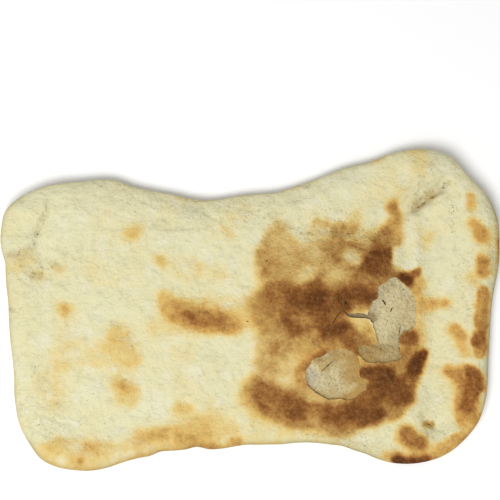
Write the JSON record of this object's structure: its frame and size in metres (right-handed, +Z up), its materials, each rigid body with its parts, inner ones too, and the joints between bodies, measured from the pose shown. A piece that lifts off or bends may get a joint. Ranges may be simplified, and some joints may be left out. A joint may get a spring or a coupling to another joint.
{
  "type": "shaobing",
  "caption": "Large flat oblong shaobing, a baked wheat flatbread with browned crust, rounded corners and a puffed blister that has burst open.",
  "frame": {"origin": "middle of the bounding box at the flat underside, on the surface that the bread lies on", "axes": "+X along the bread's length, with the burst blister on the +X half, +Y across it, +Z up through its thickness"},
  "size_m": [0.249, 0.1605, 0.0155],
  "materials": {
    "crust": "matte floury baked crust, pale cream with golden and brown patches"
  },
  "bodies": {
    "root": {"shaobing": "crust"}
  },
  "joints": []
}
